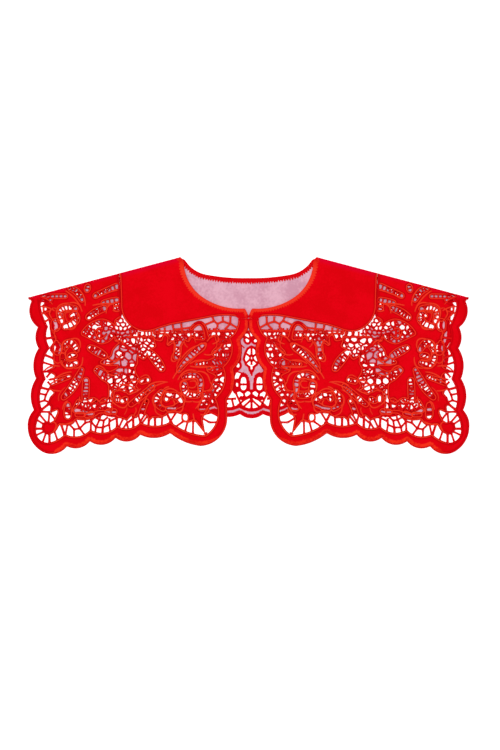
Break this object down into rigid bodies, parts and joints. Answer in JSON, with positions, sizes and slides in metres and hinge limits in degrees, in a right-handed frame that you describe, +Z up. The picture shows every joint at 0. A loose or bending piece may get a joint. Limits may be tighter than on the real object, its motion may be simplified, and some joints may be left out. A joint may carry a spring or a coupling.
{
  "type": "detachable collar",
  "caption": "Detachable cape collar in pierced cutwork with leaf sprays, scalloped hem and front opening, lying flat and folded along the shoulders.",
  "frame": {"origin": "on the surface that the collar lies on, under the middle of its bounding box", "axes": "+X along the width, towards the side of the collar on the right of a viewer who looks down on the fronts with the neck at the top; +Y towards the neck; +Z up, off the surface"},
  "size_m": [0.5292, 0.2367, 0.0064],
  "materials": {
    "yoke": "matt woven cloth",
    "neck_edging": "satin stitch",
    "lace_front_left": "matt woven cloth with satin stitched edges",
    "lace_front_right": "matt woven cloth with satin stitched edges",
    "lace_back": "paler wrong side of the cloth",
    "neck_clasp": "plain"
  },
  "bodies": {
    "root": {"yoke": "yoke", "neck_edging": "neck_edging", "lace_front_left": "lace_front_left", "lace_front_right": "lace_front_right", "lace_back": "lace_back", "neck_clasp": "neck_clasp"}
  },
  "joints": []
}
